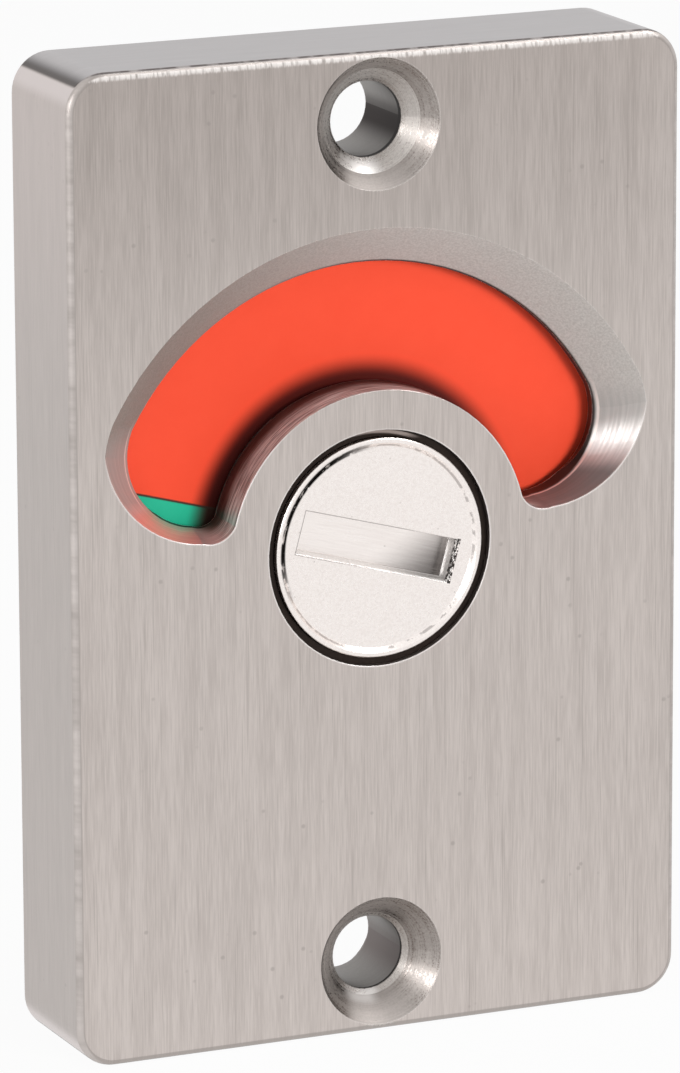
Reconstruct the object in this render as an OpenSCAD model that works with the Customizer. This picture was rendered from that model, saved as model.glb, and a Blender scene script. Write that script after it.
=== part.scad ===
// Outside half of a toilet indicator bolt: a cast face plate carries a coin-slotted release
// spindle, and a curved window in it shows the red or the green half of a turning disc.
// Millimetres, +Z up, front towards -Y, origin on the rear plane at the spindle axis.
// Each module draws its piece with the unit lying on its back: x across the door,
// y up the door and z out of the door, from the rear plane to the face.

/* [Face plate] */
// Width of the plate
plate_w = 50; // [48.5:0.5:60]
// Height of the plate
plate_h = 76; // [72:0.5:90]
// Thickness of the plate
plate_t = 11; // [10.5:0.1:14]
// Radius of the four corners, seen from the front
corner_r = 3; // [1.5:0.25:6]
// Rounding of the front edge
edge_r = 0.6; // [0.2:0.1:1]
// Metal between the face and the disc pocket
web_t = 3.9; // [3.8:0.1:4.8]
// Rim of the plate around the back cover
rim_w = 2; // [1.5:0.1:2.1]

/* [Fixing holes] */
// Distance of a fixing hole from the plate's end
hole_margin = 5.5; // [5.4:0.1:6.5]
// Bore for the fixing screw
hole_d = 5.8; // [4.5:0.1:6.5]
// Diameter of the countersink at the face
sink_d = 10.1; // [8:0.1:10.8]
// Full angle of the countersink at the face
sink_angle = 76; // [70:1:88]
// Full angle of the seat below it
seat_angle = 90; // [80:1:110]
// Diameter of the seat's upper edge in the top hole
seat_top_d = 8; // [7:0.1:8]
// Diameter of the seat's upper edge in the bottom hole
seat_low_d = 6.6; // [6.5:0.1:8]
// Rear recess that takes the collar of a sleeve nut
nut_d = 8; // [7:0.1:9]
// Depth of that recess
nut_depth = 2.1; // [1.5:0.1:4]

/* [Window] */
// Radius of the bevel's inner edge round the window
open_r = 21.5; // [20:0.1:21.6]
// Width of the bevel round the outer wall
bevel_w = 3.1; // [1.5:0.1:3.3]
// Depth of that bevel below the face
bevel_d = 3.1; // [2:0.1:3.7]
// Direction of the ray, above the horizontal, where the round end begins
end_angle = 31; // [29:0.5:34]
// Radius in which the arc's bevel turns into the round end
turn_r = 6; // [5.95:0.05:6.2]
// Radius of the round end at the foot of its bevel
end_r = 5.9; // [5.8:0.05:5.9]
// Radius of the upright wall below that bevel
end_wall_r = 5.6; // [5.4:0.05:5.7]
// Radius of the round end at the face
mouth_r = 8.4; // [8:0.05:8.6]
// Direction of the mouth's centre above the horizontal
mouth_angle = 36; // [34:0.5:38]
// Reach of the mouth's circle past the bevel of the arc
mouth_over = 1.1; // [0.6:0.05:1.3]
// Direction of the rounded corner at the island above the horizontal
nook_angle = 15.7; // [15:0.1:16.5]
// Rounding of that corner at the face
nook_r = 2.2; // [2:0.05:2.4]
// Rounding of that corner at the foot of its wall
nook_foot_r = 1.55; // [1.4:0.05:1.8]
// Radius of the island left standing round the spindle
island_r = 12.2; // [11.6:0.1:13]

/* [Release spindle] */
// Diameter of the spindle's head
head_d = 17; // [15:0.1:18]
// Chamfer round the head
head_chamfer = 0.1; // [0.05:0.05:0.3]
// Width of the raised rim round the head
rim_top = 0.25; // [0.1:0.05:0.5]
// Depth of the head's face below the rim
dish_depth = 0.4; // [0.1:0.05:0.6]
// Width of the slope from the rim down to the face
dish_slope = 0.35; // [0.1:0.05:0.6]
// Length of the coin slot in the face
slot_l = 13.2; // [10:0.1:14]
// Width of the coin slot in the face
slot_w = 3.4; // [2:0.1:4]
// Depth of the coin slot below the rim
slot_depth = 2; // [1:0.1:2.6]
// Draft of the slot's walls, from the face to the floor
slot_draft = 0.2; // [0.05:0.05:0.4]
// Diameter of the shank behind the disc
shank_d = 11; // [10.4:0.1:12]
// Distance across the shank's two flats
shank_flats = 9; // [8.4:0.1:9.8]
// Shank end below the rear plane
shank_inset = 0.3; // [0.1:0.1:1]
// Square bar of the bolt that the spindle drives
bar_w = 6; // [5:0.1:6.4]
// Depth of the square socket for that bar
socket_depth = 7; // [5:0.1:7.5]

/* [Spindle bush] */
// Wall of the bush round the head
bush_wall = 0.58; // [0.4:0.02:1]
// Front end of the bush below the face
bush_inset = 0.6; // [0.2:0.1:1.5]
// Island left uncovered outside the bush's flange
flange_step = 0.7; // [0.6:0.1:1.2]

/* [Indicator disc] */
// Thickness of the disc
disc_t = 1.2; // [0.8:0.1:1.6]
// Reach of the disc past the window
disc_cover = 0.8; // [0.4:0.1:0.9]
// Gap round the disc in its pocket
disc_gap = 0.6; // [0.3:0.1:0.7]
// Gap between the colours and the back of the web
face_gap = 0.8; // [0.2:0.05:1.1]
// Thickness of each colour film
film_t = 0.25; // [0.15:0.05:0.4]
// Bare rim of the disc outside the films
film_rim = 0.3; // [0.1:0.05:0.6]
// Reach of the films behind the island
film_tuck = 0.3; // [0.1:0.05:0.5]

/* [Turning stop] */
// Turn from the engaged stop to the vacant stop
travel = 180; // [160:1:200]
// Turn of the spindle past the engaged stop as drawn
rest_turn = 15.5; // [0:0.5:160]
// Free turn left between the cam and the pin at each stop
stop_play = 0.5; // [0.2:0.1:2]
// Thickness of the stop cam
cam_t = 1; // [0.6:0.1:1.3]
// Radius of the cam's lobe
cam_r = 14; // [13:0.1:18]
// Radius of the cam's hub
hub_r = 10.2; // [9:0.1:10.6]
// Diameter of the stop pin
pin_d = 3; // [2:0.1:3.2]
// Distance of the stop pin from the spindle axis
pin_reach = 12.5; // [12.3:0.1:13.8]
// Stop pin standing past the cam
pin_over = 0.4; // [0.1:0.1:0.6]
// Rivet end of the stop pin in the cover
pin_tail_d = 2; // [1.2:0.1:2.4]

/* [Retaining ring] */
// Thickness of the ring
ring_t = 1; // [0.8:0.1:1.2]
// Depth of its groove in the shank
groove_depth = 0.4; // [0.3:0.05:0.6]
// Width of the ring opposite its gap
ring_w = 1.9; // [1.4:0.1:2.4]
// Loss of width towards the gap
ring_taper = 0.4; // [0:0.1:0.6]
// Gap between the ring's two ears
ring_open = 2.4; // [1.5:0.1:3.2]
// Radius of an ear
ear_r = 1.3; // [1:0.1:1.6]
// Plier hole in an ear
ear_hole_d = 1.2; // [0.8:0.1:1.4]

/* [Spring washer] */
// Thickness of the washer
spring_t = 0.5; // [0.3:0.05:0.8]
// Outer radius of the washer, on the cover
spring_r = 10; // [8:0.1:10.6]

/* [Back cover] */
// Thickness of the cover
cover_t = 1.2; // [1:0.1:1.6]
// Radius of the cover's corners
cover_corner = 2; // [1:0.25:3]
// Metal between the cover and a nut recess
cover_land = 1.5; // [1:0.1:2]
// Cover screw's distance from the two nearest edges
screw_inset = 3.5; // [3:0.1:4.5]
// Diameter of a cover screw
screw_d = 2.5; // [2:0.1:3]
// Diameter of its head
screw_head_d = 4.6; // [4:0.1:4.8]
// Length of a cover screw
screw_l = 6; // [4.5:0.1:8]
// Reach of the cross recess in its head
cross_l = 2.6; // [2:0.1:3.2]
// Width of each arm of the cross
cross_w = 0.6; // [0.4:0.1:0.8]
// Depth of the cross
cross_depth = 0.7; // [0.4:0.1:1]

/* [Clearances] */
// Radial gap of a turning fit
run_gap = 0.05; // [0.02:0.01:0.1]
// Radial gap of a pressed or screwed fit
press_gap = 0.02; // [0.01:0.01:0.05]
// Gap round a keyed fit
key_gap = 0.05; // [0.02:0.01:0.1]
// End play of the turning pieces
end_play = 0.05; // [0.02:0.01:0.15]
// Gap round the cover in its recess
cover_gap = 0.1; // [0.05:0.05:0.3]
// Gap between the shank and the spring washer
spring_gap = 0.3; // [0.2:0.05:0.6]

/* [Hidden] */
$fn = 96;
// Overrun of every cut past the surface that it opens
cut_over = 0.5;
// Overlap by which two walls that blend cross each other
blend = 0.05;

// Levels above the rear plane, from the face inwards
z_bevel = plate_t - bevel_d;
z_web = plate_t - web_t;
z_film = z_web - face_gap;
z_disc = z_film - film_t;
z_ring = z_disc - disc_t;
z_cam = z_ring - ring_t;
z_spring = z_cam - cam_t;

// Radii that follow from the pieces' fits
head_r = head_d / 2;
shank_r = shank_d / 2;
groove_r = shank_r - groove_depth;
bush_in_r = head_r + run_gap;
bush_out_r = bush_in_r + bush_wall;
bore_r = bush_out_r + press_gap;
flange_r = island_r - flange_step;
disc_r = open_r + disc_cover;
pocket_r = disc_r + disc_gap;
socket_w = bar_w + 2 * key_gap;

// Centres of the circles that shape the window's right end
function ray(angle) = [cos(angle), sin(angle)];
turn_at = (open_r + blend - turn_r) * ray(end_angle);
end_at = (open_r + blend - end_r) * ray(end_angle);
end_wall_at = (open_r + blend - end_wall_r) * ray(end_angle);
mouth_at = (open_r + bevel_w + mouth_over - mouth_r) * ray(mouth_angle);
nook_foot_at = (island_r + nook_foot_r - blend) * ray(nook_angle);
nook_at = (island_r + nook_r - blend) * ray(nook_angle);

// Fixing holes, back cover and the cover's screws
hole_spacing = plate_h - 2 * hole_margin;
cover_w = plate_w - 2 * rim_w - 2 * cover_gap;
cover_h = hole_spacing - nut_d - 2 * cover_land - 2 * cover_gap;
screw_x = cover_w / 2 - screw_inset;
screw_y = cover_h / 2 - screw_inset;
screw_head_t = (screw_head_d - screw_d) / 2;

// Lobe that lets the cam turn by its travel between the two sides of the pin
pin_half_angle = asin(pin_d / 2 / pin_reach);
lobe_angle = 360 - travel - 2 * pin_half_angle - 2 * stop_play;

// Stands the unit up, with its face towards -Y
module upright() {
    rotate([90, 0, 0])
        children();
}

// Turns a piece clockwise, seen from the front, from the engaged stop to where it is drawn
module turned() {
    rotate([0, 0, -rest_turn])
        children();
}

module both_sides() {
    children();
    mirror([1, 0, 0])
        children();
}

module both_ends() {
    children();
    mirror([0, 1, 0])
        children();
}

// Copies a round shape to the four corners of a rectangle
module at_corners(x, y) {
    for (side = [-1, 1], end = [-1, 1])
        translate([side * x, end * y])
            children();
}

module rounded_rect(w, h, r) {
    square([w - 2 * r, h], center = true);
    square([w, h - 2 * r], center = true);
    at_corners(w / 2 - r, h / 2 - r)
        circle(r = r);
}

// Round bar with two flats, the key shared by the shank and what it drives
module double_d(d, flats) {
    intersection() {
        circle(d = d);
        square([d, flats], center = true);
    }
}

// Half of the plate's section: a tall rectangle with its front corner rounded
module edge_profile(half_w) {
    square([half_w, plate_t - edge_r]);
    square([half_w - edge_r, plate_t]);
    translate([half_w - edge_r, plate_t - edge_r])
        circle(r = edge_r);
}

// Plate before any cut: two crossed slabs and four turned corners share one section
module plate_blank() {
    both_sides()
        rotate([90, 0, 0])
            linear_extrude(height = plate_h - 2 * corner_r, center = true)
                edge_profile(plate_w / 2);
    both_ends()
        rotate([90, 0, 90])
            linear_extrude(height = plate_w - 2 * corner_r, center = true)
                edge_profile(plate_h / 2);
    both_sides()
        both_ends()
            translate([plate_w / 2 - corner_r, plate_h / 2 - corner_r, 0])
                rotate_extrude(angle = 90)
                    edge_profile(corner_r);
}

// Round opening through the web: an upright wall at the disc and the bevel up to the face
module flared_opening(r) {
    flare = bevel_w / bevel_d;
    rotate_extrude()
        polygon([
            [0, z_web - cut_over],
            [r, z_web - cut_over],
            [r, z_bevel],
            [r + bevel_w + cut_over * flare, plate_t + cut_over],
            [0, plate_t + cut_over]
        ]);
}

// Slice through the web above the spindle, from a ray on the right to its twin on the left
module window_slice(r, angle) {
    rotate([0, 0, angle])
        rotate_extrude(angle = 180 - 2 * angle)
            translate([0, z_web - cut_over])
                square([r, web_t + 2 * cut_over]);
}

// Leaning cone through the web, from a circle at the level z_low to a circle at the face
module leaning_cone(z_low, low_at, low_r, top_at, top_r) {
    lean = (top_at - low_at) / (plate_t - z_low);
    flare = (top_r - low_r) / (plate_t - z_low);
    multmatrix([
        [1, 0, lean.x, top_at.x - lean.x * plate_t],
        [0, 1, lean.y, top_at.y - lean.y * plate_t],
        [0, 0, 1, 0],
        [0, 0, 0, 1]
    ])
        translate([0, 0, z_web - cut_over])
            cylinder(
                h = web_t + 2 * cut_over,
                r1 = top_r - flare * (web_t + cut_over),
                r2 = top_r + flare * cut_over
            );
}

// Round end of the window. The arc's bevel turns into it and grows steeper down to the island,
// an upright wall stands below the bevel, and a smaller cone rounds the corner at the island.
module window_end() {
    intersection() {
        translate([turn_at.x, turn_at.y, 0])
            flared_opening(turn_r);
        union() {
            leaning_cone(z_bevel, end_at, end_r, mouth_at, mouth_r);
            translate([end_wall_at.x, end_wall_at.y, z_web - cut_over])
                cylinder(h = web_t, r = end_wall_r);
        }
        translate([(nook_at.x + nook_foot_at.x) / 2, -plate_w / 2, 0])
            cube([plate_w, plate_w, plate_t + 2 * cut_over]);
    }
    leaning_cone(z_web, nook_foot_at, nook_foot_r, nook_at, nook_r);
}

module window_cut() {
    difference() {
        intersection() {
            flared_opening(open_r);
            union() {
                window_slice(plate_w, end_angle);
                window_slice(norm(mouth_at), nook_angle);
                both_sides()
                    window_end();
            }
        }
        cylinder(h = plate_t + 2 * cut_over, r = island_r);
    }
}

// Bore with a countersink in two slopes and the sleeve nut's recess at the back
module fixing_hole(seat_d) {
    sink_slope = tan(sink_angle / 2);
    sink_depth = (sink_d - seat_d) / 2 / sink_slope;
    seat_depth = (seat_d - hole_d) / 2 / tan(seat_angle / 2);
    translate([0, 0, -cut_over])
        cylinder(h = plate_t + cut_over, d = hole_d);
    translate([0, 0, plate_t])
        rotate_extrude()
            polygon([
                [0, cut_over],
                [sink_d / 2 + cut_over * sink_slope, cut_over],
                [seat_d / 2, -sink_depth],
                [hole_d / 2, -sink_depth - seat_depth],
                [0, -sink_depth - seat_depth]
            ]);
    translate([0, 0, -cut_over])
        cylinder(h = nut_depth + cut_over, d = nut_d);
}

// Rear pocket for the disc, the recess of the cover and the holes of its screws
module rear_cut() {
    translate([0, 0, cover_t - cut_over])
        cylinder(h = z_web - cover_t + cut_over, r = pocket_r);
    translate([0, 0, -cut_over])
        linear_extrude(height = cover_t + cut_over)
            rounded_rect(cover_w + 2 * cover_gap, cover_h + 2 * cover_gap, cover_corner + cover_gap);
    at_corners(screw_x, screw_y)
        cylinder(h = screw_l + cut_over, r = screw_d / 2 + press_gap);
}

module face_plate() {
    color([0.71, 0.69, 0.67])
        upright()
            difference() {
                plate_blank();
                window_cut();
                translate([0, 0, z_web - cut_over])
                    cylinder(h = web_t + 2 * cut_over, r = bore_r);
                translate([0, hole_spacing / 2, 0])
                    fixing_hole(seat_top_d);
                translate([0, -hole_spacing / 2, 0])
                    fixing_hole(seat_low_d);
                rear_cut();
            }
}

// Nylon sleeve round the head; its flange keeps the disc off the island
module spindle_bush() {
    color([0.1, 0.08, 0.07])
        upright()
            rotate_extrude()
                polygon([
                    [bush_in_r, z_disc + end_play],
                    [flange_r, z_disc + end_play],
                    [flange_r, z_web],
                    [bush_out_r, z_web],
                    [bush_out_r, plate_t - bush_inset],
                    [bush_in_r, plate_t - bush_inset]
                ]);
}

// Section of the coin slot across one of its two sizes, with leaning sides
module slot_section(size) {
    wall = slot_depth - dish_depth;
    over = slot_draft / wall * (dish_depth + cut_over);
    polygon([
        [-size / 2 + slot_draft, plate_t - slot_depth],
        [size / 2 - slot_draft, plate_t - slot_depth],
        [size / 2 + over, plate_t + cut_over],
        [-size / 2 - over, plate_t + cut_over]
    ]);
}

module slot_cut() {
    intersection() {
        rotate([90, 0, 0])
            linear_extrude(height = slot_l, center = true)
                slot_section(slot_l);
        rotate([90, 0, 90])
            linear_extrude(height = 2 * slot_l, center = true)
                slot_section(slot_w);
    }
}

// Dished head with its coin slot, keyed shank, ring groove and square socket, in one casting
module release_spindle() {
    rim_r = head_r - head_chamfer - rim_top;
    color([0.93, 0.91, 0.88])
        upright()
            turned()
                difference() {
                    union() {
                        rotate_extrude()
                            polygon([
                                [0, z_disc],
                                [head_r, z_disc],
                                [head_r, plate_t - head_chamfer],
                                [head_r - head_chamfer, plate_t],
                                [rim_r, plate_t],
                                [rim_r - dish_slope, plate_t - dish_depth],
                                [0, plate_t - dish_depth]
                            ]);
                        translate([0, 0, shank_inset])
                            linear_extrude(height = z_disc - shank_inset)
                                double_d(shank_d, shank_flats);
                    }
                    slot_cut();
                    translate([-socket_w / 2, -socket_w / 2, shank_inset - cut_over])
                        cube([socket_w, socket_w, socket_depth + cut_over]);
                    translate([0, 0, z_cam - end_play])
                        linear_extrude(height = ring_t + end_play)
                            difference() {
                                circle(r = shank_r + cut_over);
                                circle(r = groove_r);
                            }
                }
}

module indicator_disc() {
    color([0.75, 0.75, 0.74])
        upright()
            turned()
                translate([0, 0, z_ring])
                    linear_extrude(height = disc_t)
                        difference() {
                            circle(r = disc_r);
                            double_d(shank_d + 2 * key_gap, shank_flats + 2 * key_gap);
                        }
}

// Half ring of colour on the face of the disc; side is 1 for the upper half, -1 for the lower
module half_film(side) {
    film_r = disc_r - film_rim;
    upright()
        turned()
            translate([0, 0, z_disc])
                linear_extrude(height = film_t)
                    intersection() {
                        difference() {
                            circle(r = film_r);
                            circle(r = island_r - film_tuck);
                        }
                        translate([0, side * film_r / 2])
                            square([2 * film_r, film_r], center = true);
                    }
}

module red_film() {
    color([1, 0.35, 0.25])
        half_film(1);
}

module green_film() {
    color([0.18, 0.75, 0.55])
        half_film(-1);
}

// Eared ring that sits in the shank's groove behind the disc
module retaining_ring() {
    ear_x = ring_open / 2 + ear_r;
    color([0.25, 0.25, 0.27])
        upright()
            turned()
                translate([0, 0, z_cam])
                    linear_extrude(height = ring_t)
                        difference() {
                            union() {
                                translate([0, -ring_taper])
                                    circle(r = groove_r + ring_w - ring_taper);
                                for (side = [-1, 1])
                                    translate([side * ear_x, groove_r + ear_r])
                                        circle(r = ear_r);
                            }
                            circle(r = groove_r + press_gap);
                            translate([0, groove_r + ear_r])
                                square([ring_open, 2 * groove_r], center = true);
                            for (side = [-1, 1])
                                translate([side * ear_x, groove_r + ear_r])
                                    circle(d = ear_hole_d);
                        }
}

// Keyed washer with a wide lobe; the lobe's two straight sides meet the stop pin
module stop_cam() {
    reach = 2 * cam_r;
    color([0.62, 0.6, 0.52])
        upright()
            turned()
                translate([0, 0, z_spring])
                    linear_extrude(height = cam_t)
                        difference() {
                            union() {
                                circle(r = hub_r);
                                rotate([0, 0, 180])
                                    intersection() {
                                        circle(r = cam_r);
                                        polygon([
                                            [0, 0],
                                            reach * [cos(lobe_angle / 2), -sin(lobe_angle / 2)],
                                            [reach, 0],
                                            reach * [cos(lobe_angle / 2), sin(lobe_angle / 2)]
                                        ]);
                                    }
                            }
                            double_d(shank_d + 2 * key_gap, shank_flats + 2 * key_gap);
                        }
}

// Conical spring washer that presses the disc forward and holds its turn by friction
module spring_washer() {
    spring_in_r = shank_r + spring_gap;
    color([0.4, 0.41, 0.43])
        upright()
            rotate_extrude()
                polygon([
                    [spring_in_r, z_spring - end_play],
                    [spring_in_r, z_spring - end_play - spring_t],
                    [spring_r, cover_t],
                    [spring_r, cover_t + spring_t]
                ]);
}

// Pin riveted into the cover, standing in the path of the cam's lobe
module stop_pin() {
    color([0.7, 0.7, 0.72])
        upright()
            translate([0, -pin_reach, 0]) {
                cylinder(h = cover_t, d = pin_tail_d);
                translate([0, 0, cover_t])
                    cylinder(h = z_cam + pin_over - cover_t, d = pin_d);
            }
}

module back_cover() {
    sink_r = screw_head_d / 2 + cover_gap;
    color([0.66, 0.67, 0.68])
        upright()
            difference() {
                linear_extrude(height = cover_t)
                    difference() {
                        rounded_rect(cover_w, cover_h, cover_corner);
                        circle(r = shank_r + run_gap);
                        translate([0, -pin_reach])
                            circle(r = pin_tail_d / 2 + press_gap);
                        at_corners(screw_x, screw_y)
                            circle(r = screw_d / 2 + cover_gap);
                    }
                at_corners(screw_x, screw_y)
                    translate([0, 0, -cut_over])
                        cylinder(h = sink_r + cut_over, r1 = sink_r + cut_over, r2 = 0);
            }
}

// Countersunk screw, head to the rear, with a cross recess
module cover_screw() {
    difference() {
        union() {
            cylinder(h = screw_head_t, d1 = screw_head_d, d2 = screw_d);
            cylinder(h = screw_l, d = screw_d);
        }
        for (turn = [0, 90])
            rotate([0, 0, turn])
                translate([-cross_l / 2, -cross_w / 2, -cut_over])
                    cube([cross_l, cross_w, cross_depth + cut_over]);
    }
}

module cover_screws() {
    color([0.8, 0.8, 0.82])
        upright()
            at_corners(screw_x, screw_y)
                cover_screw();
}

face_plate();
spindle_bush();
release_spindle();
indicator_disc();
red_film();
green_film();
retaining_ring();
stop_cam();
spring_washer();
stop_pin();
back_cover();
cover_screws();
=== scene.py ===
import math

import bpy
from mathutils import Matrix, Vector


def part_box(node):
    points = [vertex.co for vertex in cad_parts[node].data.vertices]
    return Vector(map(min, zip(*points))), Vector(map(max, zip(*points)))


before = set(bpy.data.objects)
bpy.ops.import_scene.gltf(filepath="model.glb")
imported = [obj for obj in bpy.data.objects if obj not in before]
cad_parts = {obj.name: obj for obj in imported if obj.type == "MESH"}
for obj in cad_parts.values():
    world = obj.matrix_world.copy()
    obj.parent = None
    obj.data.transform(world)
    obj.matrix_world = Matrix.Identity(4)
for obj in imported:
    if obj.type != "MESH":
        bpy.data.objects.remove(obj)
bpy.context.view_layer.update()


# Face plate: a die casting in zinc alloy, linished up and down on a belt until its face and its
# sides carry a fine upright grain. The window keeps the dull skin of the casting, the two
# fixing holes are drilled and countersunk, and the belt leaves the edges bright.
def feed(tree, socket, value):
    """Links an output to a socket, or sets a plain value on it."""
    if isinstance(value, bpy.types.NodeSocket):
        tree.links.new(value, socket)
    else:
        socket.default_value = value


def add(tree, kind, inputs=None, **settings):
    """Adds a shader node with its settings and inputs."""
    made = tree.nodes.new("ShaderNode" + kind)
    for name, value in settings.items():
        setattr(made, name, value)
    for name, value in (inputs or {}).items():
        feed(tree, made.inputs[name], value)
    return made


def calc(tree, operation, *values):
    """One step of arithmetic on numbers."""
    made = add(tree, "Math", operation=operation)
    for socket, value in zip(made.inputs, values):
        feed(tree, socket, value)
    return made.outputs["Value"]


def ramp(tree, value, low, high):
    """Soft step from 0 at low to 1 at high."""
    limits = {"Value": value, "From Min": low, "From Max": high}
    return add(tree, "MapRange", limits, interpolation_type="SMOOTHSTEP").outputs["Result"]


def both(tree, *masks):
    """Product of several masks."""
    total = masks[0]
    for mask in masks[1:]:
        total = calc(tree, "MULTIPLY", total, mask)
    return total


def blend(tree, share, first, second):
    """Number that goes from first to second with share."""
    made = add(tree, "Mix", data_type="FLOAT")
    for slot, value in zip((0, 2, 3), (share, first, second)):
        feed(tree, made.inputs[slot], value)
    return made.outputs[0]


def tint(tree, share, first, second):
    """Colour that goes from first to second with share."""
    made = add(tree, "Mix", data_type="RGBA")
    for slot, value in zip((0, 6, 7), (share, first, second)):
        feed(tree, made.inputs[slot], value)
    return made.outputs[2]


def lean(tree, share, first, second):
    """Direction that goes from first to second with share."""
    made = add(tree, "Mix", data_type="VECTOR")
    for slot, value in zip((0, 4, 5), (share, first, second)):
        feed(tree, made.inputs[slot], value)
    return made.outputs[1]


def noise(tree, vector, scale, detail=2.0, rough=0.5):
    """Cloudy value from 0 to 1 at a scale in features per millimetre."""
    limits = {"Vector": vector, "Scale": scale, "Detail": detail, "Roughness": rough}
    return add(tree, "TexNoise", limits).outputs["Fac"]


def join(tree, x=0.0, y=0.0, z=0.0):
    """Vector from three numbers."""
    return add(tree, "CombineXYZ", {"X": x, "Y": y, "Z": z}).outputs["Vector"]


def stretch(tree, vector, x, y, z):
    """Vector with each of its three numbers scaled."""
    return add(tree, "VectorMath", {0: vector, 1: (x, y, z)}, operation="MULTIPLY").outputs["Vector"]


def distance(tree, x, y):
    """Length of a flat vector."""
    return calc(tree, "SQRT", calc(tree, "ADD", both(tree, x, x), both(tree, y, y)))


def size(tree, value):
    """Value without its sign."""
    return calc(tree, "ABSOLUTE", value)


def new_group(name, inputs, outputs):
    """Empty node group with its named sockets."""
    group = bpy.data.node_groups.new(name, "ShaderNodeTree")
    for direction, sockets in (("INPUT", inputs), ("OUTPUT", outputs)):
        for socket, kind in sockets.items():
            group.interface.new_socket(socket, in_out=direction, socket_type="NodeSocket" + kind)
    start = group.nodes.new("NodeGroupInput")
    end = group.nodes.new("NodeGroupOutput")
    return group, start.outputs, end.inputs


def use(tree, group, **inputs):
    """Places a node group; its outputs come back by name."""
    made = tree.nodes.new("ShaderNodeGroup")
    made.node_tree = group
    for name, value in inputs.items():
        feed(tree, made.inputs[name], value)
    return made.outputs


def new_material(name, **constants):
    """Material with its shader; constants name the shader's sockets."""
    material = bpy.data.materials.new(name)
    material.use_nodes = True
    shader = material.node_tree.nodes["Principled BSDF"]
    for socket, value in constants.items():
        shader.inputs[socket.replace("_", " ")].default_value = value
    return material, material.node_tree, shader.inputs


def places(tree):
    """Position on the piece in millimetres, as a vector and as three numbers, and its normal."""
    spot = add(tree, "TexCoord")
    scaled = stretch(tree, spot.outputs["Object"], 1000, 1000, 1000)
    parts = add(tree, "SeparateXYZ", {"Vector": scaled}).outputs
    facing = add(tree, "SeparateXYZ", {"Vector": spot.outputs["Normal"]}).outputs
    return scaled, parts, facing


def finish_solid(node, material):
    """Puts a material on every slot of a CAD piece."""
    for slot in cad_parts[node].material_slots:
        slot.material = material


# Belt grain: long fine streaks. Across is counted in streaks, Along in millimetres.
brushing, given, result = new_group(
    "brushing",
    {"Across": "Float", "Along": "Float", "Fineness": "Float"},
    {"Tone": "Float", "Height": "Float"},
)
tree = brushing
grain_place = join(tree, calc(tree, "MULTIPLY", given["Across"], given["Fineness"]), given["Along"])
fine = noise(tree, stretch(tree, grain_place, 1, 0.3, 1), 1.0, 3.0, 0.6)
broad = noise(tree, stretch(tree, grain_place, 0.12, 0.05, 1), 1.0, 2.0)
feed(tree, result["Tone"], blend(tree, 0.35, fine, broad))
feed(tree, result["Height"], fine)

# Edge bands, for wear and for painted highlights: a narrow band each side of every sharp edge, and a
# normal that rounds it.
edge_wear_and_highlight, given, result = new_group(
    "edge_wear_and_highlight", {"Width": "Float"}, {"Edge": "Float", "Rounded": "Vector"}
)
tree = edge_wear_and_highlight
rounded = add(tree, "Bevel", {"Radius": given["Width"]}, samples=6).outputs["Normal"]
true_normal = add(tree, "NewGeometry").outputs["Normal"]
cosine = add(tree, "VectorMath", {0: rounded, 1: true_normal}, operation="DOT_PRODUCT").outputs["Value"]
feed(tree, result["Edge"], ramp(tree, cosine, 0.995, 0.9))
feed(tree, result["Rounded"], rounded)

# Casting skin: a dull sandy grain with a few open pores.
casting_skin, given, result = new_group(
    "casting_skin", {"Place": "Vector", "Grains": "Float"}, {"Grain": "Float", "Pore": "Float"}
)
tree = casting_skin
scaled = add(tree, "VectorMath", {0: given["Place"], "Scale": given["Grains"]}, operation="SCALE")
grain_place = scaled.outputs["Vector"]
grain = noise(tree, grain_place, 1.0, 4.0, 0.65)
pore_spots = add(tree, "TexVoronoi", {"Vector": grain_place, "Scale": 0.35}).outputs["Distance"]
pore_share = noise(tree, grain_place, 0.11, 1.0)
feed(tree, result["Grain"], grain)
pores = both(tree, ramp(tree, pore_spots, 0.16, 0.06), ramp(tree, pore_share, 0.54, 0.64))
feed(tree, result["Pore"], pores)

# Where things lie on the plate, in millimetres, and the widths of its worn edges and of its painted lip
# highlight, in metres.
plate_low, plate_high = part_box("face_plate")
face_y = plate_low.y * 1000
top_z = plate_high.z * 1000
window_r = 24.8
window_x = 23.0
island_r = 12.2
web_back_y = face_y + 3.9
wall_top_y = face_y + 2.9
hole_z = top_z - 5.5
sink_r = 5.15
sink_line_r = 4.77
bore_lip_y = face_y + 3.0
edge_r = 0.6
corner_r = 4.0
wear_width = 0.00012
lip_width = 0.00026
streaks_per_mm = 8.5
end_top_z = 11.5
end_low_z = 8.5
lip_top_z = 10.5
lip_low_z = 7.5
polish_top_z = 8.4
polish_low_z = 5.9
tone_left_x = -20
tone_right_x = 6
face_fade_x = 60
island_clear_y = face_y + 1.2
island_dark_y = face_y + 3.2
glint_in_r = 3.4
glint_out_r = 4.0

# Masks for the plate: the window with its island, round ends and low wall, the fixing holes with
# their seats and bores, the outer faces, the roundings and the corners.
plate_metal, tree, surface = new_material("brushed_plate")
place, at, facing = places(tree)
radius = distance(tree, at["X"], at["Z"])
hole_reach = distance(tree, at["X"], calc(tree, "SUBTRACT", size(tree, at["Z"]), hole_z))
off_face = ramp(tree, facing["Y"], -0.995, -0.97)
upright = ramp(tree, facing["Y"], -0.35, -0.15)
in_web = ramp(tree, at["Y"], web_back_y + 0.05, web_back_y)
in_window = both(
    tree,
    off_face,
    in_web,
    ramp(tree, radius, window_r + 0.05, window_r),
    ramp(tree, radius, island_r - 0.6, island_r - 0.3),
    ramp(tree, size(tree, at["X"]), window_x + 0.5, window_x),
)
on_island = both(tree, in_window, upright, ramp(tree, radius, island_r + 2.2, island_r + 0.2))
round_end = both(tree, in_window, ramp(tree, at["Z"], end_top_z, end_low_z))
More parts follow.
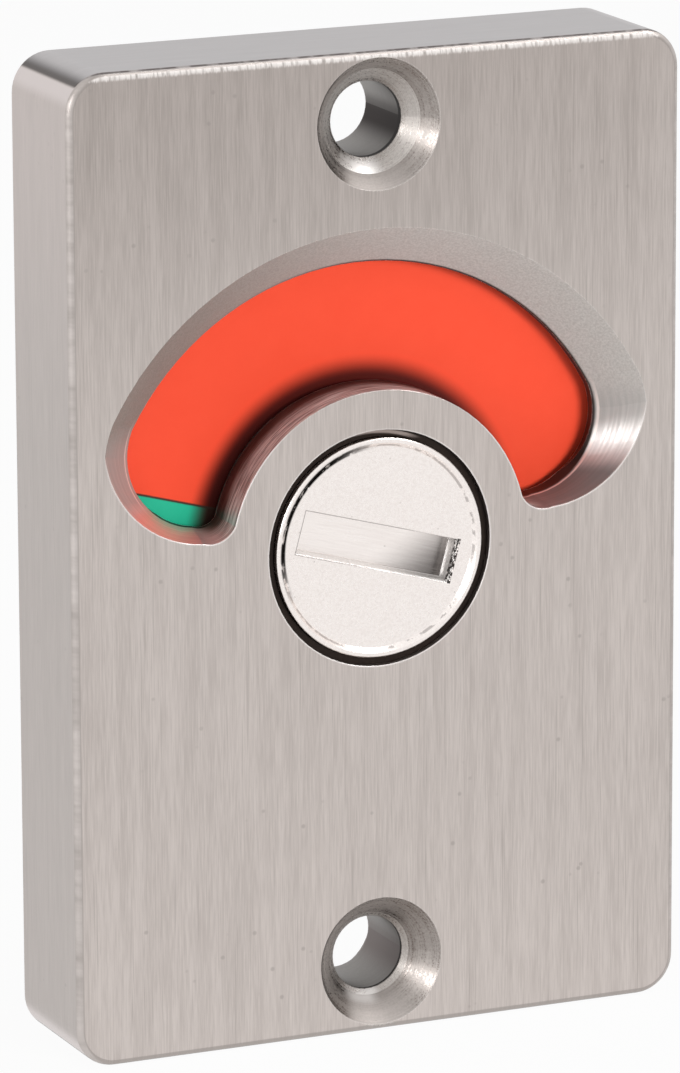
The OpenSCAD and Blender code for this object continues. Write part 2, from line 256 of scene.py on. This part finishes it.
low_wall = both(tree, in_window, ramp(tree, at["Y"], wall_top_y, wall_top_y + 0.15))
wall_edge_highlight = ramp(tree, size(tree, calc(tree, "SUBTRACT", at["Y"], wall_top_y - 0.1)), 0.12, 0.04)
in_hole = both(tree, off_face, ramp(tree, hole_reach, sink_r + 0.05, sink_r))
in_bore = both(tree, in_hole, upright)
on_seat = both(tree, in_hole, ramp(tree, facing["Y"], -0.65, -0.69))
flat_end = ramp(tree, size(tree, facing["Z"]), 0.7, 0.8)
on_end = both(tree, flat_end, ramp(tree, size(tree, at["Z"]), top_z - 1, top_z - 0.5))
inside = calc(tree, "MAXIMUM", in_window, in_hole)
outside = calc(tree, "SUBTRACT", 1.0, inside)
on_rounding = both(tree, off_face, ramp(tree, facing["Y"], -0.1, -0.3), outside)
# Painted highlight on the upright roundings, broken up by noise along them.
highlight_breakup = noise(tree, stretch(tree, place, 0.2, 0.2, 1), 0.9, 3.0, 0.6)
side_edge_highlight = both(
    tree,
    on_rounding,
    ramp(tree, size(tree, facing["X"]), 0.2, 0.4),
    ramp(tree, highlight_breakup, 0.15, 0.85),
)
tilt = size(tree, facing["Z"])
on_corner = both(
    tree,
    ramp(tree, size(tree, facing["Y"]), 0.4, 0.1),
    ramp(tree, size(tree, at["Z"]), top_z - corner_r, top_z - corner_r + 1),
)
corner_shade = both(tree, on_corner, ramp(tree, tilt, 0.64, 0.71), ramp(tree, tilt, 0.96, 0.74))
corner_shine = both(tree, on_corner, ramp(tree, tilt, 0.1, 0.45), ramp(tree, tilt, 0.68, 0.62))

# Grain, pores, wear and burrs that break up the plate's surface, with a painted shade line on the top
# edge and a painted highlight on the window's lower lip.
on_front = ramp(tree, facing["Y"], -0.35, -0.65)
on_side = both(tree, outside, ramp(tree, size(tree, facing["X"]), 0.6, 0.8))
streak = use(
    tree,
    brushing,
    Across=blend(tree, on_front, at["Y"], at["X"]),
    Along=blend(tree, on_end, at["Z"], at["X"]),
    Fineness=streaks_per_mm,
)
skin = use(tree, casting_skin, Place=place, Grains=6.0)
specks = use(tree, casting_skin, Place=place, Grains=1.9)
wear = use(tree, edge_wear_and_highlight, Width=wear_width)
lip = use(tree, edge_wear_and_highlight, Width=lip_width)
around = calc(tree, "ARCTAN2", at["Z"], at["X"])
line_place = join(tree, calc(tree, "MULTIPLY", at["Y"], 6.0), calc(tree, "MULTIPLY", around, 4.0))
wall_lines = noise(tree, line_place, 1.0, 3.0)
ring_place = join(tree, calc(tree, "MULTIPLY", hole_reach, 7.0), calc(tree, "MULTIPLY", at["Y"], 7.0))
turned_rings = blend(tree, 0.5, noise(tree, ring_place, 1.0, 3.0), skin["Grain"])
tooth_place = join(tree, calc(tree, "MULTIPLY", at["X"], 4.0))
tooth_reach = calc(tree, "SUBTRACT", noise(tree, tooth_place, 1.0, 3.0, 0.7), 0.5)
burr_height = calc(tree, "ADD", at["Z"], calc(tree, "MULTIPLY", tooth_reach, 0.55))
burr = both(
    tree,
    ramp(tree, burr_height, top_z - edge_r - 0.1, top_z - edge_r + 0.15),
    ramp(tree, facing["Y"], -0.75, -0.9),
    ramp(tree, noise(tree, tooth_place, 0.7, 2.0), 0.3, 0.55),
)
top_shade_line = both(
    tree,
    on_rounding,
    ramp(tree, facing["Z"], 0.78, 0.88),
    ramp(tree, noise(tree, tooth_place, 0.2, 2.0), 0.35, 0.55),
)
# Painted highlight: a bright line along the window's lower front edges, which face up.
lip_highlight = both(
    tree,
    lip["Edge"],
    ramp(tree, at["Z"], lip_top_z, lip_low_z),
    ramp(tree, radius, window_r + 1.5, window_r + 0.5),
    ramp(tree, at["Y"], face_y + 0.3, face_y + 0.2),
)

# Colours of the plate: the brushed face with painted shade that darkens it towards the top, then the
# window and the holes.
painted_top_shading = both(tree, ramp(tree, at["Z"], 5, top_z), ramp(tree, at["X"], face_fade_x, 0))
face_dark = tint(tree, painted_top_shading, (0.53, 0.475, 0.446, 1), (0.405, 0.36, 0.335, 1))
face_clear = tint(tree, painted_top_shading, (0.658, 0.595, 0.561, 1), (0.51, 0.455, 0.427, 1))
face_colour = tint(tree, ramp(tree, streak["Tone"], 0.33, 0.67), face_dark, face_clear)
face_colour = tint(tree, both(tree, specks["Pore"], 0.5), face_colour, (0.36, 0.32, 0.3, 1))
hair_place = stretch(tree, place, 5.5, 5.5, 0.07)
hairline = both(tree, ramp(tree, noise(tree, hair_place, 1.0, 1.0), 0.66, 0.74), 0.3)
face_colour = tint(tree, hairline, face_colour, (0.34, 0.3, 0.28, 1))
end_colour = tint(tree, streak["Tone"], (0.36, 0.34, 0.342, 1), (0.56, 0.535, 0.538, 1))

rightwards = ramp(tree, at["X"], tone_left_x, tone_right_x)
upwards = ramp(tree, facing["Z"], 0.45, 0.7)
# Painted light and shade: the window's cast skin is darker on the left and lighter on the right, as the
# lamps light it.
cast_dark = tint(tree, rightwards, (0.225, 0.196, 0.173, 1), (0.45, 0.43, 0.405, 1))
cast_clear = tint(tree, rightwards, (0.297, 0.263, 0.238, 1), (0.59, 0.57, 0.54, 1))
cast_colour = tint(tree, ramp(tree, skin["Grain"], 0.3, 0.7), cast_dark, cast_clear)
line_tone = ramp(tree, wall_lines, 0.36, 0.62)
# Painted reflection: the upward-facing foot of the left end is painted pink, as if it mirrored the red
# film.
left_end = tint(tree, upwards, (0.42, 0.4, 0.375, 1), (1.0, 0.82, 0.78, 1))
# Polish and painted highlight: the right end's turn is shinier, and its colour is painted brighter where
# the side lamp's highlight falls.
polish_and_highlight = both(tree, ramp(tree, facing["Z"], -0.12, 0.3), ramp(tree, at["Z"], polish_top_z, polish_low_z))
right_end = tint(tree, polish_and_highlight, (0.45, 0.43, 0.41, 1), (0.7, 0.67, 0.65, 1))
# Painted shade: the upward-facing foot of the right end is painted dark.
right_end = tint(tree, upwards, right_end, (0.19, 0.2, 0.195, 1))
round_colour = tint(tree, rightwards, left_end, right_end)
round_colour = tint(tree, both(tree, line_tone, 0.15), round_colour, (0.1, 0.1, 0.1, 1))
# Painted shade: the island's wall darkens with depth towards the disc.
island_near = tint(tree, line_tone, (0.15, 0.17, 0.165, 1), (0.56, 0.62, 0.6, 1))
island_wall_shade = tint(tree, line_tone, (0.012, 0.006, 0.005, 1), (0.05, 0.03, 0.026, 1))
island_colour = tint(tree, ramp(tree, at["Y"], island_clear_y, island_dark_y), island_near, island_wall_shade)

turned_tone = ramp(tree, turned_rings, 0.36, 0.62)
# Painted light: the countersink walls on the upper and left side of each hole are painted lighter than
# the rest.
away = ramp(tree, calc(tree, "SUBTRACT", facing["X"], facing["Z"]), 0.0, 0.9)
turned_dark = tint(tree, away, (0.3, 0.265, 0.245, 1), (0.36, 0.32, 0.295, 1))
turned_clear = tint(tree, away, (0.5, 0.46, 0.435, 1), (0.52, 0.47, 0.44, 1))
turned_colour = tint(tree, turned_tone, turned_dark, turned_clear)
sink_foot = ramp(tree, facing["Z"], 0.6, 0.75)
# Painted light: the upward-facing foot of each countersink is painted lighter.
turned_colour = tint(tree, both(tree, sink_foot, 0.6), turned_colour, (0.6, 0.555, 0.53, 1))
sink_line = ramp(tree, hole_reach, sink_line_r - 0.05, sink_line_r + 0.05)
# Painted shade: a dark line round the left side of each countersink, where its two slopes meet.
sink_rim_shade = both(tree, sink_line, ramp(tree, facing["X"], 0.35, 0.65), 0.7)
turned_colour = tint(tree, sink_rim_shade, turned_colour, (0.12, 0.1, 0.09, 1))
seat_colour = tint(tree, turned_tone, (0.4, 0.365, 0.34, 1), (0.62, 0.58, 0.55, 1))
seat_glint = both(tree, ramp(tree, facing["Z"], 0.45, 0.62), ramp(tree, facing["X"], -0.25, 0.0))
seat_colour = tint(tree, both(tree, seat_glint, 0.85), seat_colour, (0.97, 0.94, 0.92, 1))
foot_glint = both(
    tree,
    in_hole,
    ramp(tree, hole_reach, glint_out_r, glint_in_r),
    ramp(tree, facing["Z"], 0.5, 0.68),
    ramp(tree, facing["X"], -0.2, 0.05),
    ramp(tree, at["Z"], 0, -5),
)
bore_clear = tint(tree, turned_rings, (0.24, 0.225, 0.215, 1), (0.42, 0.4, 0.385, 1))
# Painted shade: the bores are darker on their sides, the upper one darker than the lower, with a dark
# band just inside the mouth.
bore_shade = tint(tree, ramp(tree, at["Z"], -5, 5), (0.23, 0.2, 0.193, 1), (0.04, 0.031, 0.029, 1))
bore_waist = ramp(tree, size(tree, calc(tree, "SUBTRACT", facing["Z"], 0.25)), 0.7, 0.1)
bore_colour = tint(tree, bore_waist, bore_clear, bore_shade)
bore_mouth_shade = ramp(tree, at["Y"], bore_lip_y, bore_lip_y - 0.15)
bore_colour = tint(tree, bore_mouth_shade, bore_colour, (0.03, 0.024, 0.022, 1))

# The colours are laid over one another, from the face to the painted highlight on the window's lower
# lip.
colour = tint(tree, on_end, face_colour, end_colour)
# Painted light: the sides are painted lighter and warmer towards the top.
side_colour = tint(tree, painted_top_shading, (0.4, 0.37, 0.355, 1), (0.66, 0.59, 0.57, 1))
colour = tint(tree, both(tree, on_side, 0.5), colour, side_colour)
colour = tint(tree, both(tree, corner_shade, 0.9), colour, (0.06, 0.05, 0.047, 1))
colour = tint(tree, both(tree, corner_shine, 0.8), colour, (0.72, 0.655, 0.64, 1))
# Painted shade: the outer edge roundings are darkened to hold back their highlight.
colour = tint(tree, both(tree, on_rounding, 0.7), colour, (0.36, 0.325, 0.305, 1))
# Painted highlight: a broken light band on the upright roundings.
colour = tint(tree, side_edge_highlight, colour, (0.62, 0.57, 0.545, 1))
colour = tint(tree, in_window, colour, cast_colour)
colour = tint(tree, round_end, colour, round_colour)
foot_line = both(tree, upwards, ramp(tree, at["Y"], web_back_y - 0.5, web_back_y - 0.3))
wall_shade = both(tree, low_wall, calc(tree, "MAXIMUM", rightwards, foot_line))
colour = tint(tree, wall_shade, colour, (0.02, 0.012, 0.01, 1))
# Painted highlight: a bright line along the top of the low wall in the round ends.
colour = tint(tree, both(tree, round_end, wall_edge_highlight), colour, (0.75, 0.68, 0.64, 1))
colour = tint(tree, on_island, colour, island_colour)
colour = tint(tree, in_hole, colour, turned_colour)
colour = tint(tree, on_seat, colour, seat_colour)
colour = tint(tree, both(tree, foot_glint, 0.85), colour, (0.97, 0.94, 0.92, 1))
colour = tint(tree, both(tree, in_hole, skin["Pore"], 0.6), colour, (0.2, 0.175, 0.16, 1))
colour = tint(tree, in_bore, colour, bore_colour)
colour = tint(tree, burr, colour, (0.88, 0.83, 0.8, 1))
# Painted shade: a broken dark line on the upper part of the top edge's rounding.
colour = tint(tree, top_shade_line, colour, (0.14, 0.12, 0.115, 1))
worn = both(tree, wear["Edge"], ramp(tree, streak["Height"], 0.35, 0.6))
colour = tint(tree, worn, colour, (0.8, 0.75, 0.72, 1))
feed(tree, surface["Base Color"], tint(tree, lip_highlight, colour, (0.97, 0.92, 0.89, 1)))

# Bare metal outside and in the holes, a dull skin in the window; gloss and relief go with it.
metal = blend(tree, in_window, 1.0, 0.2)
left_metal = blend(tree, upwards, 0.35, 0.9)
right_metal = blend(tree, upwards, blend(tree, polish_and_highlight, 0.2, 0.75), 0.25)
metal = blend(tree, round_end, metal, blend(tree, rightwards, left_metal, right_metal))
metal = blend(tree, on_island, metal, 0.1)
metal = blend(tree, in_hole, metal, blend(tree, away, 1.0, 0.55))
feed(tree, surface["Metallic"], metal)

roughness = blend(tree, streak["Tone"], 0.32, 0.42)
roughness = blend(tree, side_edge_highlight, roughness, 0.5)
roughness = blend(tree, in_window, roughness, blend(tree, skin["Grain"], 0.5, 0.7))
roughness = blend(tree, round_end, roughness, blend(tree, wall_lines, 0.26, 0.5))
roughness = blend(tree, on_island, roughness, 0.35)
roughness = blend(tree, in_hole, roughness, blend(tree, turned_tone, 0.22, 0.5))
off_seat = calc(tree, "SUBTRACT", 1.0, on_seat)
roughness = blend(tree, both(tree, in_hole, off_seat, sink_foot), roughness, 0.6)
roughness = blend(tree, in_bore, roughness, 0.5)
feed(tree, surface["Roughness"], roughness)

relief = blend(tree, in_window, streak["Height"], skin["Grain"])
relief = blend(tree, round_end, relief, wall_lines)
relief = blend(tree, in_hole, relief, turned_rings)
depth = {"Strength": 0.15, "Distance": 0.00004, "Height": relief, "Normal": wear["Rounded"]}
feed(tree, surface["Normal"], add(tree, "Bump", depth).outputs["Normal"])
finish_solid("face_plate", plate_metal)


# Spindle bush: a dark nylon sleeve, moulded with a flange, pressed into the plate round the
# spindle's head. Only its front end shows, as a dark ring with a painted sheen at the top.
sheen_r = 8.95
sheen_slant = -0.06
bush_nylon, tree, surface = new_material("black_nylon", Metallic=0.0, Specular_IOR_Level=0.12)
place, at, _ = places(tree)
mottle = noise(tree, place, 3.0, 4.0)
nylon_colour = tint(tree, mottle, (0.011, 0.007, 0.006, 1), (0.03, 0.022, 0.018, 1))
radius = distance(tree, at["X"], at["Z"])
# Painted sheen: a lighter band across the top of the ring.
sheen_path = calc(tree, "MULTIPLY_ADD", at["X"], sheen_slant, sheen_r)
sheen_gap = size(tree, calc(tree, "SUBTRACT", radius, sheen_path))
top_sheen = both(tree, ramp(tree, sheen_gap, 0.22, 0.06), ramp(tree, at["Z"], 8.0, 8.6))
feed(tree, surface["Base Color"], tint(tree, top_sheen, nylon_colour, (0.3, 0.25, 0.23, 1)))
feed(tree, surface["Roughness"], blend(tree, mottle, 0.45, 0.7))
depth = {"Strength": 0.2, "Distance": 0.00003, "Height": mottle}
feed(tree, surface["Normal"], add(tree, "Bump", depth).outputs["Normal"])
finish_solid("spindle_bush", bush_nylon)


# Release spindle: a nickel-plated casting with a dished head and a closed coin slot across it.
# Plating leaves an orange-peel grain. Painted shade darkens the slot's mouth, the right end of
# its floor and the foot of the rim on the left; a broken grey ring marks the rim's foot all round,
# and dark hatching the slot's right end wall.
rest_turn = math.radians(15.5)
slot_half_l = 6.6
slot_half_w = 1.7
head_face_y = face_y + 0.4
slot_floor_y = face_y + 2.0
dish_r = 7.8
shade_start = 1.0
shade_end = slot_half_l + 0.8

nickel, tree, surface = new_material("bright_nickel")
place, at, _ = places(tree)
along_slot = calc(
    tree,
    "SUBTRACT",
    calc(tree, "MULTIPLY", at["X"], math.cos(rest_turn)),
    calc(tree, "MULTIPLY", at["Z"], math.sin(rest_turn)),
)
over_slot = calc(
    tree,
    "ADD",
    calc(tree, "MULTIPLY", at["X"], math.sin(rest_turn)),
    calc(tree, "MULTIPLY", at["Z"], math.cos(rest_turn)),
)
radius = distance(tree, at["X"], at["Z"])
on_floor = ramp(tree, size(tree, calc(tree, "SUBTRACT", at["Y"], slot_floor_y)), 0.15, 0.05)
on_head = ramp(tree, at["Y"], head_face_y + 0.1, head_face_y + 0.02)
skin = use(tree, casting_skin, Place=place, Grains=4.5)
wear = use(tree, edge_wear_and_highlight, Width=0.0001)
soft_slot = use(tree, edge_wear_and_highlight, Width=0.0011)
scratch = use(tree, brushing, Across=over_slot, Along=along_slot, Fineness=5.0)
broken = noise(tree, place, 1.1, 3.0, 0.6)

past_end = calc(tree, "SUBTRACT", size(tree, along_slot), slot_half_l)
past_side = calc(tree, "SUBTRACT", size(tree, over_slot), slot_half_w)
mouth_gap = size(tree, calc(tree, "MAXIMUM", past_end, past_side))
near_mouth = both(tree, on_head, ramp(tree, mouth_gap, 0.1, 0.03))
far_corner = ramp(tree, calc(tree, "SUBTRACT", over_slot, along_slot), -2.0, 0.5)
mouth_shade = both(tree, near_mouth, blend(tree, far_corner, 0.15, 0.65))
far_end = both(
    tree,
    ramp(tree, along_slot, slot_half_l - 0.22, slot_half_l - 0.18),
    ramp(tree, along_slot, slot_half_l + 0.12, slot_half_l + 0.06),
    ramp(tree, size(tree, over_slot), slot_half_w + 0.1, slot_half_w),
    ramp(tree, at["Y"], head_face_y + 0.75, head_face_y + 0.6),
)
hatch_place = join(tree, calc(tree, "MULTIPLY", over_slot, 3.2), calc(tree, "MULTIPLY", at["Y"], 3.0))
hatch = both(tree, far_end, ramp(tree, noise(tree, hatch_place, 1.0, 3.0, 0.7), 0.4, 0.54))
foot_gap = size(tree, calc(tree, "SUBTRACT", radius, dish_r + 0.12))
rim_foot = both(tree, on_head, ramp(tree, foot_gap, 0.34, 0.18))
leftwards = calc(tree, "SUBTRACT", calc(tree, "MULTIPLY", at["Z"], 0.6), at["X"])
left_side = ramp(tree, leftwards, 4.5, 8.0)
rim_shade_line = both(tree, rim_foot, left_side, ramp(tree, broken, 0.33, 0.45))
rim_foot_ring = both(tree, on_head, ramp(tree, foot_gap, 0.12, 0.04), ramp(tree, broken, 0.45, 0.55), 0.6)
low_corner = calc(tree, "SUBTRACT", along_slot, over_slot)
floor_end = both(tree, on_floor, ramp(tree, low_corner, shade_start, shade_end))
floor_shade = both(tree, floor_end, blend(tree, scratch["Tone"], 1.0, 0.75))
off_floor = calc(tree, "SUBTRACT", 1.0, on_floor)
slot_wall = both(
    tree,
    off_floor,
    calc(tree, "SUBTRACT", 1.0, on_head),
    ramp(tree, at["Y"], slot_floor_y + 0.1, slot_floor_y),
    ramp(tree, radius, dish_r, dish_r - 0.1),
)

peel = blend(tree, on_floor, skin["Grain"], scratch["Tone"])
colour = tint(tree, ramp(tree, peel, 0.25, 0.7), (0.89, 0.82, 0.785, 1), (0.98, 0.92, 0.885, 1))
colour = tint(tree, both(tree, skin["Pore"], 0.4), colour, (0.45, 0.4, 0.37, 1))
# Painted shade: the slot's floor darkens towards its lower right corner.
colour = tint(tree, floor_shade, colour, (0.06, 0.05, 0.047, 1))
colour = tint(tree, slot_wall, colour, (0.95, 0.92, 0.9, 1))
# Painted shade: a dark line round the slot's mouth, strongest along its upper and left edges.
colour = tint(tree, mouth_shade, colour, (0.25, 0.22, 0.21, 1))
colour = tint(tree, hatch, colour, (0.03, 0.025, 0.022, 1))
# A broken grey ring at the foot of the dish.
colour = tint(tree, rim_foot_ring, colour, (0.3, 0.27, 0.26, 1))
# Painted shade: a broken black line at the foot of the dish on the head's left side.
colour = tint(tree, rim_shade_line, colour, (0.006, 0.005, 0.004, 1))
feed(tree, surface["Base Color"], colour)
feed(tree, surface["Metallic"], blend(tree, slot_wall, 1.0, 0.6))
feed(tree, surface["Roughness"], blend(tree, rim_shade_line, blend(tree, peel, 0.15, 0.35), 0.9))
slope = lean(tree, slot_wall, wear["Rounded"], soft_slot["Rounded"])
depth = {"Strength": 0.15, "Distance": 0.00005, "Height": peel, "Normal": slope}
feed(tree, surface["Normal"], add(tree, "Bump", depth).outputs["Normal"])
finish_solid("release_spindle", nickel)


# Indicator disc: blanked from steel sheet and keyed on the spindle's flats. The two half rings
# on its face are die-cut vinyl film, red for engaged and green for vacant.
disc_metal, tree, surface = new_material("disc_metal", Metallic=1.0)
_, at, _ = places(tree)
rolled = use(tree, brushing, Across=at["Z"], Along=at["X"], Fineness=4.0)
sheet_colour = tint(tree, rolled["Tone"], (0.42, 0.42, 0.41, 1), (0.62, 0.62, 0.61, 1))
feed(tree, surface["Base Color"], sheet_colour)
feed(tree, surface["Roughness"], blend(tree, rolled["Tone"], 0.25, 0.45))
finish_solid("indicator_disc", disc_metal)

film_colours = {
    "red_film": ((0.92, 0.076, 0.032, 1), (0.96, 0.09, 0.04, 1)),
    "green_film": ((0.018, 0.46, 0.27, 1), (0.03, 0.54, 0.333, 1)),
}
for film, (deep, clear) in film_colours.items():
    vinyl, tree, surface = new_material(film, Metallic=0.0, Specular_IOR_Level=0.3)
    place, at, _ = places(tree)
    cloud = noise(tree, place, 0.6, 4.0, 0.6)
    stipple = noise(tree, place, 9.0, 2.0)
    seam_x = calc(tree, "MULTIPLY", at["X"], math.sin(rest_turn))
    seam_gap = calc(tree, "ADD", seam_x, calc(tree, "MULTIPLY", at["Z"], math.cos(rest_turn)))
    seam = ramp(tree, size(tree, seam_gap), 0.14, 0.03)
    radius = distance(tree, at["X"], at["Z"])
    # Painted shade: both films darken close to the island, where its wall shades them.
    film_shade = both(tree, ramp(tree, radius, island_r + 2.0, island_r + 0.2), 0.97)
    film_colour = tint(tree, cloud, deep, clear)
    film_colour = tint(tree, film_shade, film_colour, (0.05, 0.004, 0.003, 1))
    feed(tree, surface["Base Color"], tint(tree, seam, film_colour, (0.05, 0.03, 0.02, 1)))
    feed(tree, surface["Roughness"], blend(tree, stipple, 0.45, 0.65))
    depth = {"Strength": 0.05, "Distance": 0.00003, "Height": stipple}
    feed(tree, surface["Normal"], add(tree, "Bump", depth).outputs["Normal"])
    finish_solid(film, vinyl)


# Turning gear behind the disc: the eared ring and the spring washer in blued spring steel, the
# stop cam and the pin in yellow-passivated and bright zinc. They hold the disc and set its turn.
gear_finishes = {
    "retaining_ring": ((0.05, 0.05, 0.058, 1), (0.12, 0.12, 0.135, 1), 0.3),
    "spring_washer": ((0.13, 0.135, 0.15, 1), (0.24, 0.245, 0.26, 1), 0.3),
    "stop_cam": ((0.42, 0.37, 0.22, 1), (0.58, 0.53, 0.38, 1), 0.35),
    "stop_pin": ((0.5, 0.5, 0.51, 1), (0.68, 0.68, 0.7, 1), 0.25),
}
for node, (deep, clear, gloss) in gear_finishes.items():
    steel, tree, surface = new_material(node, Metallic=1.0)
    place, _, _ = places(tree)
    skin = use(tree, casting_skin, Place=place, Grains=3.0)
    wear = use(tree, edge_wear_and_highlight, Width=0.0001)
    colour = tint(tree, ramp(tree, skin["Grain"], 0.3, 0.7), deep, clear)
    feed(tree, surface["Base Color"], tint(tree, wear["Edge"], colour, (0.6, 0.6, 0.61, 1)))
    feed(tree, surface["Roughness"], blend(tree, skin["Grain"], gloss, gloss + 0.2))
    feed(tree, surface["Normal"], wear["Rounded"])
    finish_solid(node, steel)


# Back cover and its four screws: a blanked steel plate let into the rear of the casting, zinc
# plated, held by countersunk cross-head screws of the same finish.
zinc_finishes = {
    "back_cover": ((0.46, 0.47, 0.48, 1), (0.6, 0.61, 0.62, 1)),
    "cover_screws": ((0.58, 0.58, 0.6, 1), (0.76, 0.76, 0.78, 1)),
}
for node, (deep, clear) in zinc_finishes.items():
    zinc, tree, surface = new_material(node, Metallic=1.0)
    place, at, _ = places(tree)
    rolled = use(tree, brushing, Across=at["X"], Along=at["Z"], Fineness=3.0)
    spangle = noise(tree, place, 0.8, 3.0, 0.6)
    wear = use(tree, edge_wear_and_highlight, Width=0.00012)
    shade = blend(tree, 0.5, rolled["Tone"], spangle)
    colour = tint(tree, ramp(tree, shade, 0.3, 0.7), deep, clear)
    feed(tree, surface["Base Color"], tint(tree, wear["Edge"], colour, (0.82, 0.82, 0.84, 1)))
    feed(tree, surface["Roughness"], blend(tree, shade, 0.25, 0.45))
    depth = {"Strength": 0.1, "Distance": 0.00003, "Height": rolled["Height"], "Normal": wear["Rounded"]}
    feed(tree, surface["Normal"], add(tree, "Bump", depth).outputs["Normal"])
    finish_solid(node, zinc)


# Floor and backdrop: one white sheet that curves up behind the plate, as on a product table.
# It adds a glow of its own to what the lamps give it, and keeps the plate's shadow.
def seen_rays(tree):
    """1 for what the camera, a mirror or clear matter looks at, 0 for light that bounces."""
    rays = add(tree, "LightPath").outputs
    mirrored = calc(tree, "MAXIMUM", rays["Is Glossy Ray"], rays["Is Transmission Ray"])
    return calc(tree, "MAXIMUM", rays["Is Camera Ray"], mirrored)


floor_z = plate_low.z
sheet_half = 3.2
sheet_front = -3.2
sheet_bend_y = 2.6
sheet_bend_r = 0.4
sheet_top = 3.2
bend_steps = 16

profile = [(sheet_front, floor_z)]
for step in range(bend_steps + 1):
    turn = math.pi / 2 * step / bend_steps
    profile.append((
        sheet_bend_y + sheet_bend_r * math.sin(turn),
        floor_z + sheet_bend_r * (1 - math.cos(turn)),
    ))
profile.append((sheet_bend_y + sheet_bend_r, sheet_top))
corners = [(side * sheet_half, y, z) for y, z in profile for side in (-1, 1)]
strips = [(2 * i, 2 * i + 1, 2 * i + 3, 2 * i + 2) for i in range(len(profile) - 1)]
sheet_mesh = bpy.data.meshes.new("white_sheet")
sheet_mesh.from_pydata(corners, [], strips)
sheet_mesh.shade_smooth()
sheet = bpy.data.objects.new("white_sheet", sheet_mesh)
bpy.context.scene.collection.objects.link(sheet)

paper, tree, surface = new_material("white_paper", Roughness=0.8)
fibre = noise(tree, add(tree, "TexCoord").outputs["Object"], 40.0, 3.0)
feed(tree, surface["Base Color"], tint(tree, fibre, (0.8, 0.8, 0.8, 1), (0.84, 0.84, 0.84, 1)))
glow_share = calc(tree, "MULTIPLY", seen_rays(tree), 0.95)
glow = add(tree, "Emission", {"Color": (1, 1, 1, 1), "Strength": 1.0}).outputs["Emission"]
lit = tree.nodes["Principled BSDF"].outputs["BSDF"]
shares = add(tree, "MixShader", {0: glow_share, 1: lit, 2: glow})
feed(tree, tree.nodes["Material Output"].inputs["Surface"], shares.outputs["Shader"])
sheet_mesh.materials.append(paper)


# Light: a soft white room with three square soft boxes, far left, high on the right and in front.
# The room looks white in polished metal, but gives less light than that to what is dull.
world = bpy.data.worlds.new("soft_room")
bpy.context.scene.world = world
world.use_nodes = True
tree = world.node_tree
room = tree.nodes["Background"]
feed(tree, room.inputs["Strength"], blend(tree, seen_rays(tree), 0.25, 1.0))
room.inputs["Color"].default_value = (1, 1, 1, 1)


def soft_box(name, spot, width, power, mirrored):
    """Square lamp at a spot, in metres, that faces the plate and may show in polished metal."""
    lamp = bpy.data.lights.new(name, "AREA")
    lamp.shape = "SQUARE"
    lamp.size = width
    lamp.energy = power
    box = bpy.data.objects.new(name, lamp)
    box.visible_glossy = mirrored
    box.location = spot
    box.rotation_euler = (-box.location).to_track_quat("-Z", "Y").to_euler()
    bpy.context.scene.collection.objects.link(box)


soft_box("side_box", spot=(-0.61, -0.19, 0.21), width=0.2, power=0.9, mirrored=True)
soft_box("high_box", spot=(0.42, -0.14, 0.6), width=0.2, power=1.3, mirrored=True)
soft_box("front_box", spot=(0.2, -0.79, 0.12), width=0.3, power=4.5, mirrored=False)


# Camera: stands a little above the plate and to its left, where the photograph was taken.
# Its place, turn and focal length come from a fit to the plate's edges and holes.
camera_spot = (-0.22604, -0.51123, 0.13392)
camera_turn = (76.3801, 0.2252, -24.0549)
camera_data = bpy.data.cameras.new("camera")
camera_data.sensor_width = 36
camera_data.lens = 251.17
camera_data.clip_start = 0.01
camera = bpy.data.objects.new("camera", camera_data)
camera.location = camera_spot
camera.rotation_euler = [math.radians(angle) for angle in camera_turn]
bpy.context.scene.collection.objects.link(camera)
bpy.context.scene.camera = camera
bpy.context.scene.view_settings.view_transform = "Standard"
